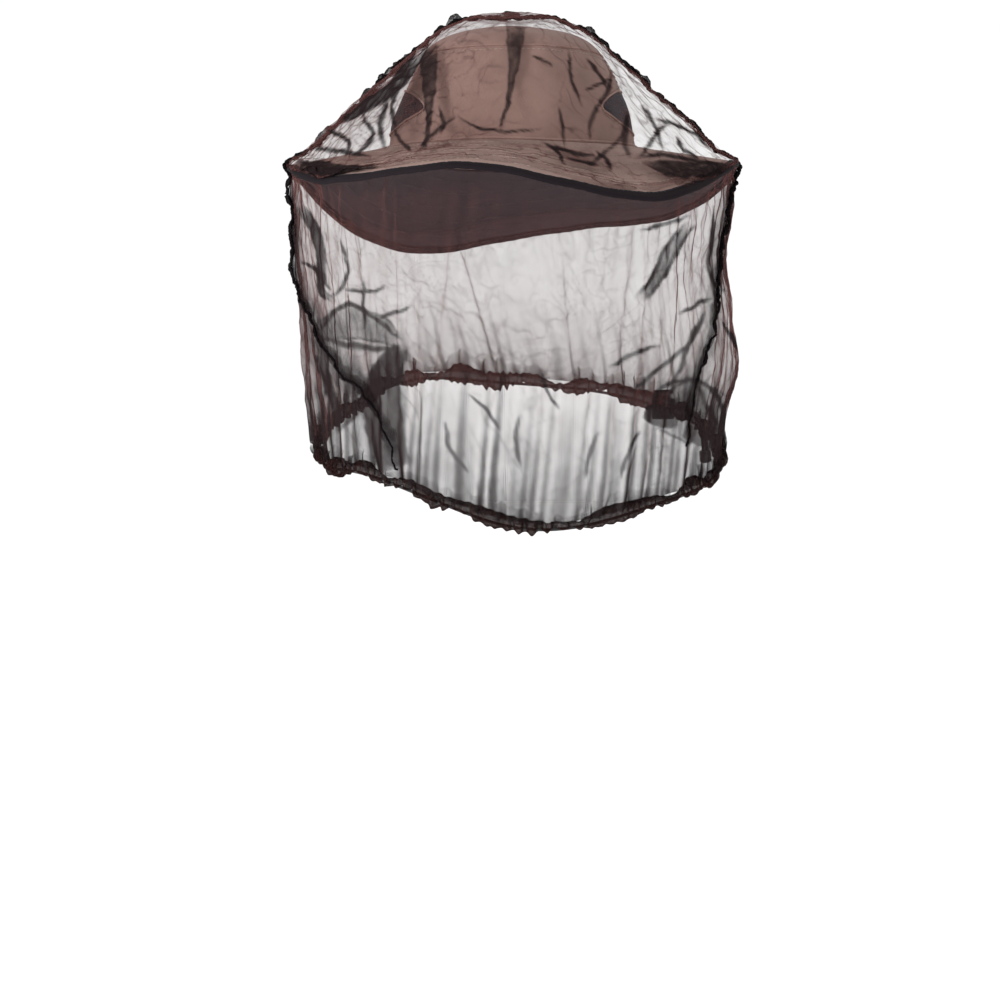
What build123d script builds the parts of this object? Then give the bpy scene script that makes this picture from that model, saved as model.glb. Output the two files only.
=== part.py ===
from build123d import *
from math import atan2, cos, pi, radians, sin, sqrt, tan
import os

# Head net (beekeeping veil) worn over a soft brimmed hat.
# Millimetres.  Origin: centre of the hat's head opening, in the plane where crown meets brim.
# +Z is up through the crown, the face opening side looks along -Y.

# ---- hat crown -------------------------------------------------------------------------------
CROWN_HALF_WIDTH = 80.0        # at the head opening
CROWN_LENGTH_RATIO = 1.25      # front-to-back size over side-to-side size
CROWN_HEIGHT = 80.0
CROWN_SKIRT = 5.0              # the crown wall's turned-down edge inside the brim
CROWN_CLOTH = 1.2
TOP_PANEL_Z = 60.0             # seam between the side wall and the domed top
VENT_HALF_LENGTH = 62.0
VENT_TIP_Z, VENT_TOP_Z, VENT_BOTTOM_Z = 21.0, 37.0, 10.0
SWEATBAND_TOP_Z = 28.0
SWEATBAND_CLOTH = 1.2
SWEATBAND_INSET = CROWN_CLOTH + 0.1

# ---- hat brim --------------------------------------------------------------------------------
BRIM_HALF_WIDTH = 147.0
BRIM_HALF_LENGTH = 172.0
BRIM_CLOTH = 0.8               # each of top cloth, stiffener and lining
BINDING_WIDTH = 5.6
BINDING_CLOTH = 0.7
EDGE_MEAN_Z = -30.1            # the edge droops and waves: mean height and four harmonics
EDGE_WAVES = ((0.7, -7.2), (13.1, 5.1), (-0.2, 1.8), (6.7, -4.5))
BRIM_ROOT = 0.56               # share of the half size at which the brim leaves the crown

# ---- net -------------------------------------------------------------------------------------
NET_CLOTH = 0.5
# (half width, half length, centre y, height, backward tilt in degrees), from the top down
NET_RINGS = (
    (14.0, 20.0, 0.0, 87.0, 0.0),
    (34.0, 46.0, 0.0, 83.5, 0.0),
    (50.0, 66.0, 0.0, 75.0, 0.0),
    (64.0, 84.0, 0.0, 61.0, 0.0),
    (82.0, 104.0, 0.0, 42.0, 0.0),
    (111.0, 134.0, 0.0, 22.0, 0.0),
    (137.0, 161.0, 0.0, 4.0, 0.0),
    (149.0, 174.0, 0.0, -7.0, 0.0),
    (149.0, 174.0, 0.0, -58.0, 0.0),
    (143.0, 160.0, -3.0, -95.0, 6.0),
    (141.0, 142.0, -8.0, -130.0, 12.0),
    (136.0, 126.0, -12.0, -168.0, 19.0),
)
HEM_HALF_WIDTH, HEM_HALF_LENGTH = 130.0, 116.0
HEM_CENTRE = (4.0, -15.0, -196.0)
HEM_TILT = 24.8
SEAM_TAPE_WIDTH, SEAM_TAPE_CLOTH = 3.0, 0.5

# ---- gathered hem and its drawcord -------------------------------------------------------------
CASING_THICK, CASING_HEIGHT = 8.0, 11.0
CHANNEL_WIDE, CHANNEL_HIGH = 5.0, 4.4
CORD_D = 2.2
CORD_GAP = 3.0                 # between the centres of the two cord ends
CORD_EXIT_ANGLE = 47.0         # round the hem from its right side, towards the back
LOCK_REACH = 14.0              # from the casing's channel to the cord lock's axis
TAIL_RUNS = (50.0, 25.0, 14.0)
TAIL_DROPS = (0.0, 40.0, 72.0)  # degrees below level, run by run
TAIL_TURNS = (0.0, 12.0, 26.0)  # degrees towards the back, run by run

# ---- cord lock -------------------------------------------------------------------------------
BARREL_R, BARREL_BELOW, BARREL_ABOVE = 7.5, 9.0, 5.0
BORE_R, BORE_FLOOR = 5.0, 7.5
PLUNGER_R, PLUNGER_FOOT = 4.95, 3.0
HEAD_R, HEAD_BOTTOM, HEAD_TOP = 6.8, 8.0, 10.6
PRESS = 2.5                    # travel of the plunger
CORD_SLOT_WIDE = CORD_GAP + CORD_D + 0.8
CORD_SLOT_HIGH = CORD_D + 0.8
CLEAR = 0.3
SPRING_R, SPRING_WIRE_R, SPRING_TURNS = 3.3, 0.3, 4.0
KNOT_R, KNOT_LENGTH = 4.0, 8.0


def crown_body(inset):
    """The solid inside the crown's outer surface, moved in by inset."""
    r, top = CROWN_HALF_WIDTH - inset, CROWN_HEIGHT - inset
    wall = Spline(
        (r, 0, 2), (r - 8.5, 0, 32), (r - 22, 0, TOP_PANEL_Z), (r - 36, 0, 73), (0, 0, top),
        tangents=((-0.16, 0, 1), (-1, 0, 0)),
    )
    outline = Wire([
        Edge.make_line((0, 0, -CROWN_SKIRT), (r, 0, -CROWN_SKIRT)),
        Edge.make_line((r, 0, -CROWN_SKIRT), (r, 0, 2)),
        wall.edge(),
        Edge.make_line((0, 0, top), (0, 0, -CROWN_SKIRT)),
    ])
    return scale(revolve(Face(outline), Axis.Z, 360), by=(1, CROWN_LENGTH_RATIO, 1))


def slab(z_low, z_high):
    """A level slab wider than the whole object."""
    return Pos(0, 0, (z_low + z_high) / 2) * Box(600, 600, z_high - z_low)


def oval(half_x, half_y, z_low=-120.0, z_high=60.0):
    """An upright elliptical prism."""
    return Pos(0, 0, z_low) * extrude(Ellipse(half_x, half_y), amount=z_high - z_low)


def brim_height(x, y):
    """Height of the brim's top surface over a point of the plan."""
    out = sqrt((x / BRIM_HALF_WIDTH) ** 2 + (y / BRIM_HALF_LENGTH) ** 2)
    t = (out - BRIM_ROOT) / (1 - BRIM_ROOT)
    t = 0.5 * (t + sqrt(t * t + 0.01))
    turn = atan2(y / BRIM_HALF_LENGTH, x / BRIM_HALF_WIDTH)
    edge = EDGE_MEAN_Z + sum(
        c * cos(n * turn) + s * sin(n * turn) for n, (c, s) in enumerate(EDGE_WAVES, 1)
    )
    mean = EDGE_MEAN_Z
    blend = min(1.0, out / BRIM_ROOT)
    return (mean + (edge - mean) * blend * blend) * t * (0.8 + 0.2 * t)


def brim_face():
    """The brim's waved top surface, a little larger than the brim."""
    xs = [-158 + 316 * i / 32 for i in range(33)]
    ys = [-184 + 368 * j / 36 for j in range(37)]
    return Face.make_surface_from_array_of_points(
        [[(x, y, brim_height(x, y)) for x in xs] for y in ys], tol=0.05
    )


def layer(face, top, bottom):
    """The cloth between two depths under the brim's top surface."""
    return Solid.extrude(face.moved(Location((0, 0, -bottom))), Vector(0, 0, bottom - top))


def tilted(centre_x, centre_y, centre_z, tilt):
    """A plane that falls towards the front by tilt degrees."""
    a = radians(tilt)
    return Plane((centre_x, centre_y, centre_z), x_dir=(1, 0, 0), z_dir=(0, -sin(a), cos(a)))


HEM_PLANE = tilted(*HEM_CENTRE, HEM_TILT)


def net_body(inset, below=0.0):
    """The solid inside the net's surface, moved in by inset and run on below its edge."""
    rings = []
    for half_x, half_y, y, z, tilt in NET_RINGS:
        drop = inset if z > 80 else 0
        plane = tilted(HEM_CENTRE[0] * max(0, -z - 60) / 140, y, z - drop, tilt)
        rings.append(plane * Ellipse(half_x - inset, half_y - inset))
    hem = HEM_PLANE.offset(-below)
    rings.append(hem * Ellipse(HEM_HALF_WIDTH - inset, HEM_HALF_LENGTH - inset))
    return loft([Sketch() + r for r in rings], ruled=True)


def hem_ring(width, low, high):
    """A band round the hem, of a width centred on the cord's line, between two heights."""
    ring = Ellipse(HEM_HALF_WIDTH + width / 2, HEM_HALF_LENGTH + width / 2)
    ring -= Ellipse(HEM_HALF_WIDTH - width / 2, HEM_HALF_LENGTH - width / 2)
    return extrude(HEM_PLANE.offset(low) * ring, amount=high - low)


def rounded_route(points):
    """Straight runs joined by tangent arcs, each as large as its two runs allow."""
    pts = [Vector(*p) for p in points]
    edges, start = [], pts[0]
    for before, corner, after in zip(pts, pts[1:], pts[2:]):
        back, on = (before - corner), (after - corner)
        half = (pi - radians(back.get_angle(on))) / 2
        reach = 0.45 * min(back.length, on.length)
        radius = reach / tan(half)
        a, b = corner + back.normalized() * reach, corner + on.normalized() * reach
        to_centre = (back.normalized() + on.normalized()).normalized()
        middle = corner + to_centre * (radius / cos(half) - radius)
        edges += [Edge.make_line(start, a), Edge.make_three_point_arc(a, middle, b)]
        start = b
        print(f"cord arc radius {radius:.1f} mm, turn {2 * half * 180 / pi:.0f} degrees")
    return Wire(edges + [Edge.make_line(start, pts[-1])])


def tube(route, diameter):
    """A round cord along a route."""
    profile = Plane(route.position_at(0), z_dir=route.tangent_at(0)) * Circle(diameter / 2)
    return sweep(profile, path=route)


def whole(shape):
    """The shape as one solid."""
    return max(shape.solids(), key=lambda s: s.volume)


parts = {}

# ---- crown: front, back and top panels, a mesh vent in each side, a sweatband inside ---------
crown_shell = crown_body(0) - crown_body(CROWN_CLOTH)
crown_wall = crown_shell & slab(-CROWN_SKIRT, TOP_PANEL_Z)
parts["crown_top_panel"] = crown_shell & slab(TOP_PANEL_Z, 100)
vent_outline = Wire([
    Edge.make_three_point_arc(
        (0, -VENT_HALF_LENGTH, VENT_TIP_Z), (0, 0, VENT_TOP_Z), (0, VENT_HALF_LENGTH, VENT_TIP_Z)
    ),
    Edge.make_three_point_arc(
        (0, VENT_HALF_LENGTH, VENT_TIP_Z), (0, 0, VENT_BOTTOM_Z), (0, -VENT_HALF_LENGTH, VENT_TIP_Z)
    ),
])
vent_right_zone = Solid.extrude(Face(vent_outline), Vector(150, 0, 0))
vent_left_zone = Solid.extrude(Face(vent_outline), Vector(-150, 0, 0))
parts["vent_mesh_right"] = crown_wall & vent_right_zone
parts["vent_mesh_left"] = crown_wall & vent_left_zone
panels = crown_wall - vent_right_zone - vent_left_zone
front_half = Pos(0, -150, 0) * Box(600, 300, 700)
back_half = Pos(0, 150, 0) * Box(600, 300, 700)
parts["crown_front_panel"] = panels & front_half
parts["crown_back_panel"] = panels & back_half
sweatband = crown_body(SWEATBAND_INSET) - crown_body(SWEATBAND_INSET + SWEATBAND_CLOTH)
parts["sweatband"] = sweatband & slab(-CROWN_SKIRT, SWEATBAND_TOP_Z)

# ---- brim: top cloth, stiffener and lining, bound round the edge ------------------------------
surface = brim_face()
hole = oval(CROWN_HALF_WIDTH, CROWN_HALF_WIDTH * CROWN_LENGTH_RATIO)
inside_binding = oval(BRIM_HALF_WIDTH - BINDING_CLOTH, BRIM_HALF_LENGTH - BINDING_CLOTH) - hole
for number, name in enumerate(("brim_top_cloth", "brim_stiffener", "brim_lining")):
    sheet = layer(surface, number * BRIM_CLOTH, (number + 1) * BRIM_CLOTH)
    parts[name] = sheet & inside_binding
brim_thick = 3 * BRIM_CLOTH
binding_zone = oval(BRIM_HALF_WIDTH, BRIM_HALF_LENGTH) - oval(
    BRIM_HALF_WIDTH - BINDING_WIDTH, BRIM_HALF_LENGTH - BINDING_WIDTH
)
binding = layer(surface, -BINDING_CLOTH, brim_thick + BINDING_CLOTH) & binding_zone
core = layer(surface, 0, brim_thick) & oval(
    BRIM_HALF_WIDTH - BINDING_CLOTH, BRIM_HALF_LENGTH - BINDING_CLOTH
)
parts["brim_binding"] = binding - core

# ---- net: a front and a back panel, joined by one seam over the top and down both sides -------
net_shell = net_body(0) - net_body(NET_CLOTH, below=6.0)
above_casing = HEM_PLANE.offset(2.0) * Box(700, 700, 400, align=(Align.CENTER, Align.CENTER, Align.MIN))
net_shell = net_shell & above_casing
parts["net_front_panel"] = net_shell & front_half
parts["net_back_panel"] = net_shell & back_half
tape_zone = Box(600, SEAM_TAPE_WIDTH, 700)
tape_shell = net_body(-SEAM_TAPE_CLOTH - 0.05) - net_body(-0.05, below=6.0)
parts["net_seam_tape"] = tape_shell & tape_zone & above_casing

# ---- gathered hem: a front and a back casing round a channel for the drawcord -----------------
casing = hem_ring(CASING_THICK, 2.0 - CASING_HEIGHT, 2.0)
channel_mid = 1.0 - CASING_HEIGHT / 2
casing -= hem_ring(CHANNEL_WIDE, channel_mid - CHANNEL_HIGH / 2, channel_mid + CHANNEL_HIGH / 2)
exit_turn = radians(CORD_EXIT_ANGLE)
cord_line = HEM_PLANE.offset(channel_mid)
exit_point = cord_line.from_local_coords(
    Vector(HEM_HALF_WIDTH * cos(exit_turn), HEM_HALF_LENGTH * sin(exit_turn), 0)
)
outward = Vector(
    cos(exit_turn) / HEM_HALF_WIDTH, sin(exit_turn) / HEM_HALF_LENGTH / cos(radians(HEM_TILT)), 0
).normalized()
across = Vector(-outward.Y, outward.X, 0)
exit_frame = Plane(exit_point, x_dir=outward, z_dir=(0, 0, 1))
slit = exit_frame * Pos(8, 0, 0) * Box(16, CORD_SLOT_WIDE + 1, CHANNEL_HIGH)
casing -= slit
parts["hem_casing_front"] = casing & front_half
parts["hem_casing_back"] = casing & back_half
loop_path = cord_line * Ellipse(HEM_HALF_WIDTH, HEM_HALF_LENGTH)
loop_wire = Wire(loop_path.edges())
parts["drawcord_loop"] = tube(loop_wire, CORD_D)


# ---- drawcord ends -----------------------------------------------------------------------------
def tail_points(side):
    """Route of one cord end: straight through the lock, then drooping."""
    here = exit_point + across * (side * CORD_GAP / 2)
    heading = atan2(outward.Y, outward.X)
    points = [here]
    for run, drop, turn in zip(TAIL_RUNS, TAIL_DROPS, TAIL_TURNS):
        a, d = heading + radians(turn), radians(drop)
        here = here + Vector(cos(a) * cos(d), sin(a) * cos(d), -sin(d)) * run
        points.append(here)
    return points


routes = {}
for name, side in (("drawcord_tail_inner", 1), ("drawcord_tail_outer", -1)):
    points = tail_points(side)
    routes[name] = rounded_route([tuple(p) for p in points])
    parts[name] = tube(routes[name], CORD_D)
    print(name, [tuple(round(v, 1) for v in tuple(p)) for p in points],
          f"length {routes[name].length:.1f}",
          f"volume ratio {parts[name].volume / (routes[name].length * pi * CORD_D**2 / 4):.3f}")
ends = [r.position_at(1) for r in routes.values()]
end_dir = routes["drawcord_tail_inner"].tangent_at(1)
knot_plane = Plane((ends[0] + ends[1]) * 0.5, z_dir=end_dir)
knot = extrude(knot_plane * Circle(KNOT_R), amount=KNOT_LENGTH)
parts["drawcord_knot"] = fillet(knot.edges().filter_by(GeomType.CIRCLE), 1.3)

# ---- cord lock: barrel, plunger and spring -----------------------------------------------------
lock = Plane(exit_point + outward * LOCK_REACH, x_dir=outward, z_dir=(0, 0, 1))
barrel = Pos(0, 0, -BARREL_BELOW) * extrude(Circle(BARREL_R), amount=BARREL_BELOW + BARREL_ABOVE)
barrel = fillet(barrel.edges().filter_by(GeomType.CIRCLE), 1.2)
barrel -= Pos(0, 0, -BORE_FLOOR) * extrude(Circle(BORE_R), amount=40)
barrel -= Box(40, CORD_SLOT_WIDE, CORD_SLOT_HIGH)
parts["cord_lock_barrel"] = lock * barrel
plunger = Pos(0, 0, -PLUNGER_FOOT) * extrude(Circle(PLUNGER_R), amount=PLUNGER_FOOT + HEAD_BOTTOM)
head = Pos(0, 0, HEAD_BOTTOM) * extrude(Circle(HEAD_R), amount=HEAD_TOP - HEAD_BOTTOM)
plunger += fillet(head.edges().filter_by(GeomType.CIRCLE), 0.9)
slot_low, slot_high = -CORD_D / 2 - CLEAR, CORD_D / 2 + CLEAR + PRESS
plunger -= Pos(0, 0, (slot_low + slot_high) / 2) * Box(40, CORD_SLOT_WIDE, slot_high - slot_low)
parts["cord_lock_plunger"] = lock * plunger
spring_height = BORE_FLOOR - PLUNGER_FOOT - 2 * SPRING_WIRE_R
spring_path = Helix(spring_height / SPRING_TURNS, spring_height, SPRING_R)
spring_end = Plane(spring_path.position_at(0), z_dir=spring_path.tangent_at(0))
spring = sweep(spring_end * Circle(SPRING_WIRE_R), path=spring_path, is_frenet=True)
parts["cord_lock_spring"] = lock * Pos(0, 0, SPRING_WIRE_R - BORE_FLOOR) * spring

os.makedirs("parts", exist_ok=True)
for name, shape in parts.items():
    export_step(whole(shape), f"parts/{name}.step")
    print(f"{name}: {len(shape.solids())} solid(s), {whole(shape).volume:.0f} mm3")
print("lock at", [round(v, 2) for v in tuple(lock.origin)], "outward",
      [round(v, 4) for v in tuple(outward)])
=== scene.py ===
import math
import bpy
import numpy as np
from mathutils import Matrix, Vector, noise
from mathutils.bvhtree import BVHTree


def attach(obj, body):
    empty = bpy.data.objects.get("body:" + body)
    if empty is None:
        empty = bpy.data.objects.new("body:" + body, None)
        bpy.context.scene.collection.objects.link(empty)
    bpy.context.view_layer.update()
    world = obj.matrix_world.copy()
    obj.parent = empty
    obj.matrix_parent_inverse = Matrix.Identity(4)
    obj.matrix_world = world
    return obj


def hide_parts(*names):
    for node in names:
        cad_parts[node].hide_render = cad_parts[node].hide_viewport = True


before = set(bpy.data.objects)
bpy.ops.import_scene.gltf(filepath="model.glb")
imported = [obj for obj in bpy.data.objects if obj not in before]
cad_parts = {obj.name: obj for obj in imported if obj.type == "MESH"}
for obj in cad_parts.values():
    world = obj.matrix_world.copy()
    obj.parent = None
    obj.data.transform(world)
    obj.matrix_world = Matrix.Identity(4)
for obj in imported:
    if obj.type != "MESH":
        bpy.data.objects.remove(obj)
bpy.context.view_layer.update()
scene = bpy.context.scene
scene.view_settings.view_transform = "Standard"
scene.view_settings.look = "None"
TAU = 2 * math.pi
MM = 0.001

# ------------------------------------------------------------------ the object's own sizes, mm
BRIM = (147.0, 172.0)
BRIM_ROOT = 0.56
EDGE_MEAN = -30.1
EDGE_WAVES = ((0.7, -7.2), (13.1, 5.1), (-0.2, 1.8), (6.7, -4.5))
CROWN_W, CROWN_RATIO = 80.0, 1.25
HEM_C = np.array((4.0, -15.0, -196.0))
HEM_HALF = (130.0, 116.0)
HEM_TILT = math.radians(24.8)
SEED = 7


def noise1(x, seed=0, octaves=3):
    """Smooth, seeded, seamless-enough 1-D noise of roughly unit size."""
    rng = np.random.default_rng(SEED + seed)
    total = np.zeros_like(np.asarray(x, float))
    for o in range(octaves):
        for _ in range(4):
            wave = rng.normal() * np.sin((2 ** o) * rng.uniform(0.6, 1.7) * x + rng.uniform(0, TAU))
            total += wave / 2 ** (o * 0.8)
    return total / 3


def round_ring(count):
    """Angles evenly round a ring."""
    return np.linspace(0, TAU, count, endpoint=False)


def length_along(poly):
    """The distance from a polyline's first point to each of its points."""
    return np.concatenate([[0], np.cumsum(np.linalg.norm(np.diff(poly, axis=0), axis=1))])


def ring_noise(phi, low, high, seed, power=1.0):
    """Seamless noise round a ring: harmonics low to high."""
    rng = np.random.default_rng(SEED + seed)
    total = np.zeros_like(np.asarray(phi, float))
    weight = 0
    for n in range(low, high + 1):
        a = rng.normal() / (n / low) ** power
        total += a * np.sin(n * phi + rng.uniform(0, TAU))
        weight += (1 / (n / low) ** power) ** 2 / 2
    return total / math.sqrt(weight)


# ---------------------------------------------------------------------------------- mesh helpers
def make_piece(name, verts, faces, uvs=None, mats=(), body="hat_and_veil", smooth=True):
    mesh = bpy.data.meshes.new(name)
    mesh.from_pydata([tuple(v) for v in np.asarray(verts, float) * MM], [], faces)
    if uvs is not None:
        layer = mesh.uv_layers.new(name="UVMap")
        idx = np.empty(len(mesh.loops), dtype=np.int32)
        mesh.loops.foreach_get("vertex_index", idx)
        flat = np.asarray(uvs, float)
        if len(flat) == len(mesh.loops):
            layer.data.foreach_set("uv", flat.ravel())
        else:
            layer.data.foreach_set("uv", flat[idx].ravel())
    if smooth:
        mesh.polygons.foreach_set("use_smooth", [True] * len(mesh.polygons))
    for m in mats:
        mesh.materials.append(m)
    obj = bpy.data.objects.new(name, mesh)
    scene.collection.objects.link(obj)
    if body:
        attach(obj, body)
    return obj


def grid_faces(nv, nu, wrap):
    """Quads of a grid with nv rows and nu columns, wrapped round in u if asked."""
    cols = nu if wrap else nu - 1
    faces = []
    for j in range(nv - 1):
        for i in range(cols):
            k = (i + 1) % nu
            faces.append((j * nu + i, j * nu + k, (j + 1) * nu + k, (j + 1) * nu + i))
    return faces


def grid_uv(pts, wrap):
    """UVs in metres along and across a grid, one per face corner."""
    nv, nu, _ = pts.shape
    across = np.zeros((nv, nu + 1))
    closed = np.concatenate([pts, pts[:, :1]], axis=1)
    across[:, 1:] = np.cumsum(np.linalg.norm(np.diff(closed, axis=1), axis=2), axis=1)
    widest = across[np.argmax(across[:, -1])]
    down = np.zeros((nv,))
    down[1:] = np.cumsum(np.linalg.norm(np.diff(pts, axis=0), axis=2).mean(axis=1))
    cols = nu if wrap else nu - 1
    uv = []
    for j in range(nv - 1):
        for i in range(cols):
            left, right, low, high = widest[i], widest[i + 1], down[j], down[j + 1]
            uv += [(left, low), (right, low), (right, high), (left, high)]
    return np.array(uv) * MM


def grid_piece(name, pts, wrap, mats, body="hat_and_veil"):
    nv, nu, _ = pts.shape
    verts, faces = pts.reshape(-1, 3), grid_faces(nv, nu, wrap)
    return make_piece(name, verts, faces, grid_uv(pts, wrap), mats, body)


def shell_grid(outer, inner, wrap):
    """A closed sheet: outer grid, inner grid and the edges between them."""
    nv, nu, _ = outer.shape
    verts = np.concatenate([outer.reshape(-1, 3), inner.reshape(-1, 3)])
    faces = grid_faces(nv, nu, wrap)
    off = nv * nu
    faces += [tuple(reversed([v + off for v in f])) for f in grid_faces(nv, nu, wrap)]
    cols = nu if wrap else nu - 1
    for j in (0, nv - 1):
        for i in range(cols):
            a, b = j * nu + i, j * nu + (i + 1) % nu
            f = (a, b, b + off, a + off)
            faces.append(tuple(reversed(f)) if j == 0 else f)
    if not wrap:
        for i in (0, nu - 1):
            for j in range(nv - 1):
                a, b = j * nu + i, (j + 1) * nu + i
                f = (a, b, b + off, a + off)
                faces.append(f if i == 0 else tuple(reversed(f)))
    return verts, faces


def shell_uv(a, b):
    """UVs of both sides of a shell, from two distances in mm."""
    return np.concatenate([np.stack([a, b], -1).reshape(-1, 2)] * 2) * MM


def tube_mesh(path, radius, sides=8, closed=False):
    """A round tube round a polyline of points (n, 3); radius may vary along it."""
    path = np.asarray(path, float)
    n = len(path)
    radius = np.broadcast_to(radius, (n,))
    if closed:
        tang = np.roll(path, -1, 0) - np.roll(path, 1, 0)
    else:
        tang = np.gradient(path, axis=0)
    tang /= np.linalg.norm(tang, axis=1)[:, None]
    up = np.array((0.0, 0.0, 1.0))
    side = np.cross(tang, up)
    weak = np.linalg.norm(side, axis=1) < 1e-3
    side[weak] = (1, 0, 0)
    side /= np.linalg.norm(side, axis=1)[:, None]
    top = np.cross(side, tang)
    rows = []
    for k in range(sides):
        a = TAU * k / sides
        rows.append(path + radius[:, None] * (math.cos(a) * side + math.sin(a) * top))
    pts = np.stack(rows, axis=1)
    faces = []
    last = n if closed else n - 1
    for j in range(last):
        for i in range(sides):
            k, m = (i + 1) % sides, (j + 1) % n
            faces.append((j * sides + i, j * sides + k, m * sides + k, m * sides + i))
    verts = pts.reshape(-1, 3)
    if not closed:
        faces.append(tuple(range(sides))[::-1])
        faces.append(tuple((n - 1) * sides + i for i in range(sides)))
    return verts, faces


# ------------------------------------------------------------------------------------- materials
class Tree:
    """A short way to write a material's nodes."""

    def __init__(self, name):
        self.mat = bpy.data.materials.new(name)
        self.mat.use_nodes = True
        self.nt = self.mat.node_tree
        self.nt.nodes.clear()
        self.out = self.nt.nodes.new("ShaderNodeOutputMaterial")

    def node(self, kind, props=None, **inputs):
        n = self.nt.nodes.new(kind)
        for k, v in (props or {}).items():
            setattr(n, k, v)
        for k, v in inputs.items():
            self.put(n.inputs[k], v)
        return n

    def put(self, socket, v):
        if isinstance(v, bpy.types.NodeSocket):
            self.nt.links.new(v, socket)
        else:
            socket.default_value = v

    def math(self, op, a, b=0.0, c=None, clamp=False):
        n = self.nt.nodes.new("ShaderNodeMath")
        n.operation, n.use_clamp = op, clamp
        self.put(n.inputs[0], a)
        self.put(n.inputs[1], b)
        if c is not None:
            self.put(n.inputs[2], c)
        return n.outputs[0]

    def add(self, a, b):
        return self.math("ADD", a, b)

    def sub(self, a, b, clamp=False):
        return self.math("SUBTRACT", a, b, clamp=clamp)

    def mul(self, a, b):
        return self.math("MULTIPLY", a, b)

    def scale(self, a, by, plus, clamp=False):
        return self.math("MULTIPLY_ADD", a, by, plus, clamp=clamp)

    def mix(self, fac, a, b, mode="MIX"):
        n = self.nt.nodes.new("ShaderNodeMix")
        n.data_type, n.blend_type = "RGBA", mode
        self.put(n.inputs[0], fac)
        self.put(n.inputs[6], a)
        self.put(n.inputs[7], b)
        return n.outputs[2]

    def uv(self):
        n = self.nt.nodes.new("ShaderNodeTexCoord")
        s = self.nt.nodes.new("ShaderNodeSeparateXYZ")
        self.nt.links.new(n.outputs["UV"], s.inputs[0])
        return n, s.outputs[0], s.outputs[1]

    def noise(self, vector, scale, detail=3.0, rough=0.5):
        n = self.node("ShaderNodeTexNoise", None, Scale=scale, Detail=detail, Roughness=rough)
        self.nt.links.new(vector, n.inputs["Vector"])
        return n.outputs["Fac"]

    def ramp(self, fac, *stops):
        n = self.nt.nodes.new("ShaderNodeValToRGB")
        self.put(n.inputs[0], fac)
        els = n.color_ramp.elements
        while len(els) < len(stops):
            els.new(0.5)
        for e, (p, c) in zip(els, stops):
            e.position, e.color = p, (*c, 1) if len(c) == 3 else c
        return n.outputs[0]

    def wave(self, coord, pitch, power=1.0):
        """A ridge every pitch metres along coord, from 0 to 1; a high power makes it thin."""
        s = self.math("ABSOLUTE", self.math("COSINE", self.mul(coord, math.pi / pitch)))
        return self.math("POWER", s, power) if power != 1.0 else s


def rgb(*c):
    return (*c, 1.0)


def cloth_material(name, dark, light, pitch=0.0007, rough=0.85, bump=0.25, sheen=0.15, blotch=14.0,
                   twill=False, gloss=0.25):
    """Woven cloth: a plain weave or a twill, fuzz, and larger blotches between two tones."""
    t = Tree(name)
    tc, u, v = t.uv()
    obj = tc.outputs["Object"]
    if twill:
        d = t.add(u, t.mul(v, 0.7))
        weave = t.wave(d, pitch * 1.6, 1.5)
        fine = t.wave(t.sub(v, t.mul(u, 0.6)), pitch * 0.8)
        height = t.add(t.mul(weave, 0.7), t.mul(fine, 0.3))
    else:
        a, b = t.wave(u, pitch), t.wave(v, pitch)
        height = t.mul(t.add(a, b), 0.5)
    big = t.noise(obj, blotch, 4.0, 0.55)
    fuzz = t.noise(obj, 900.0, 2.0, 0.6)
    tone = t.add(t.mul(big, 0.6), t.mul(fuzz, 0.4))
    col = t.mix(t.scale(tone, 1.6, -0.3, clamp=True), rgb(*dark), rgb(*light))
    # painted shade: the low points of the weave, between the threads, are darkened
    col = t.mix(t.mul(t.sub(1.0, height), 0.35), col, rgb(*(c * 0.45 for c in dark)))
    bmp = t.node("ShaderNodeBump", None, Strength=bump, Distance=0.0004)
    t.put(bmp.inputs["Height"], t.add(height, t.mul(fuzz, 0.6)))
    p = t.node("ShaderNodeBsdfPrincipled", None, Roughness=rough)
    t.put(p.inputs["Base Color"], col)
    t.put(p.inputs["Normal"], bmp.outputs[0])
    p.inputs["Sheen Weight"].default_value = sheen
    p.inputs["Sheen Roughness"].default_value = 0.5
    p.inputs["Specular IOR Level"].default_value = gloss
    t.nt.links.new(p.outputs[0], t.out.inputs[0])
    return t.mat


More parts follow.
